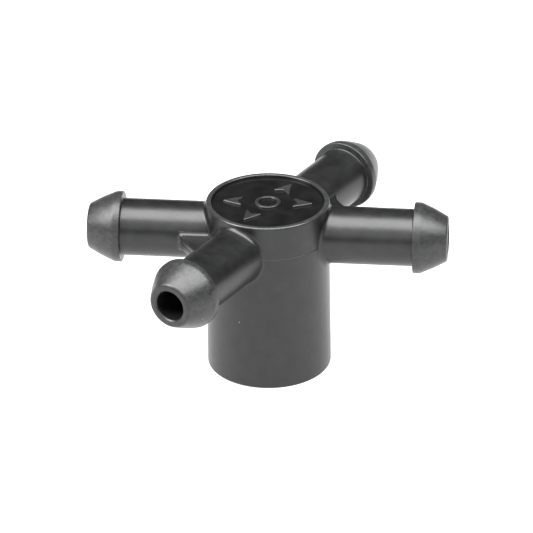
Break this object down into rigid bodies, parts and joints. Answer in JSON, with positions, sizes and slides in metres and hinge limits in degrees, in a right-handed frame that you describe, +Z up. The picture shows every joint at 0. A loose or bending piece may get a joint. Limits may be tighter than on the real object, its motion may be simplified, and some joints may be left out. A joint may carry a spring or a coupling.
{
  "type": "four-outlet barbed irrigation manifold",
  "caption": "Small black push-on irrigation manifold: an open-bottomed round socket hub with barbed tube outlets in a flat X, webs in the narrow gaps and a recessed disc with flow arrows.",
  "frame": {"origin": "centre of the socket's mouth, in the plane of its bottom ring", "axes": "+Z up along the socket and hub axis, towards the disc; +X halves the narrow gap between the two right-hand outlets; the outlets lie in one plane parallel to XY"},
  "size_m": [0.024, 0.0166, 0.0132],
  "materials": {
    "moulded_body": "satin black polymer, finely textured",
    "moulded_outlet": "satin black polymer, slightly mottled",
    "polished_disc": "smooth, glossier black polymer"
  },
  "bodies": {
    "root": {"hub_socket": "moulded_body", "top_disc": "polished_disc", "flow_marks": "polished_disc", "outlet_right_front": "moulded_outlet", "outlet_right_rear": "moulded_outlet", "outlet_left_rear": "moulded_outlet", "outlet_left_front": "moulded_outlet", "corner_web_right": "moulded_body", "corner_web_left": "moulded_body"}
  },
  "joints": []
}
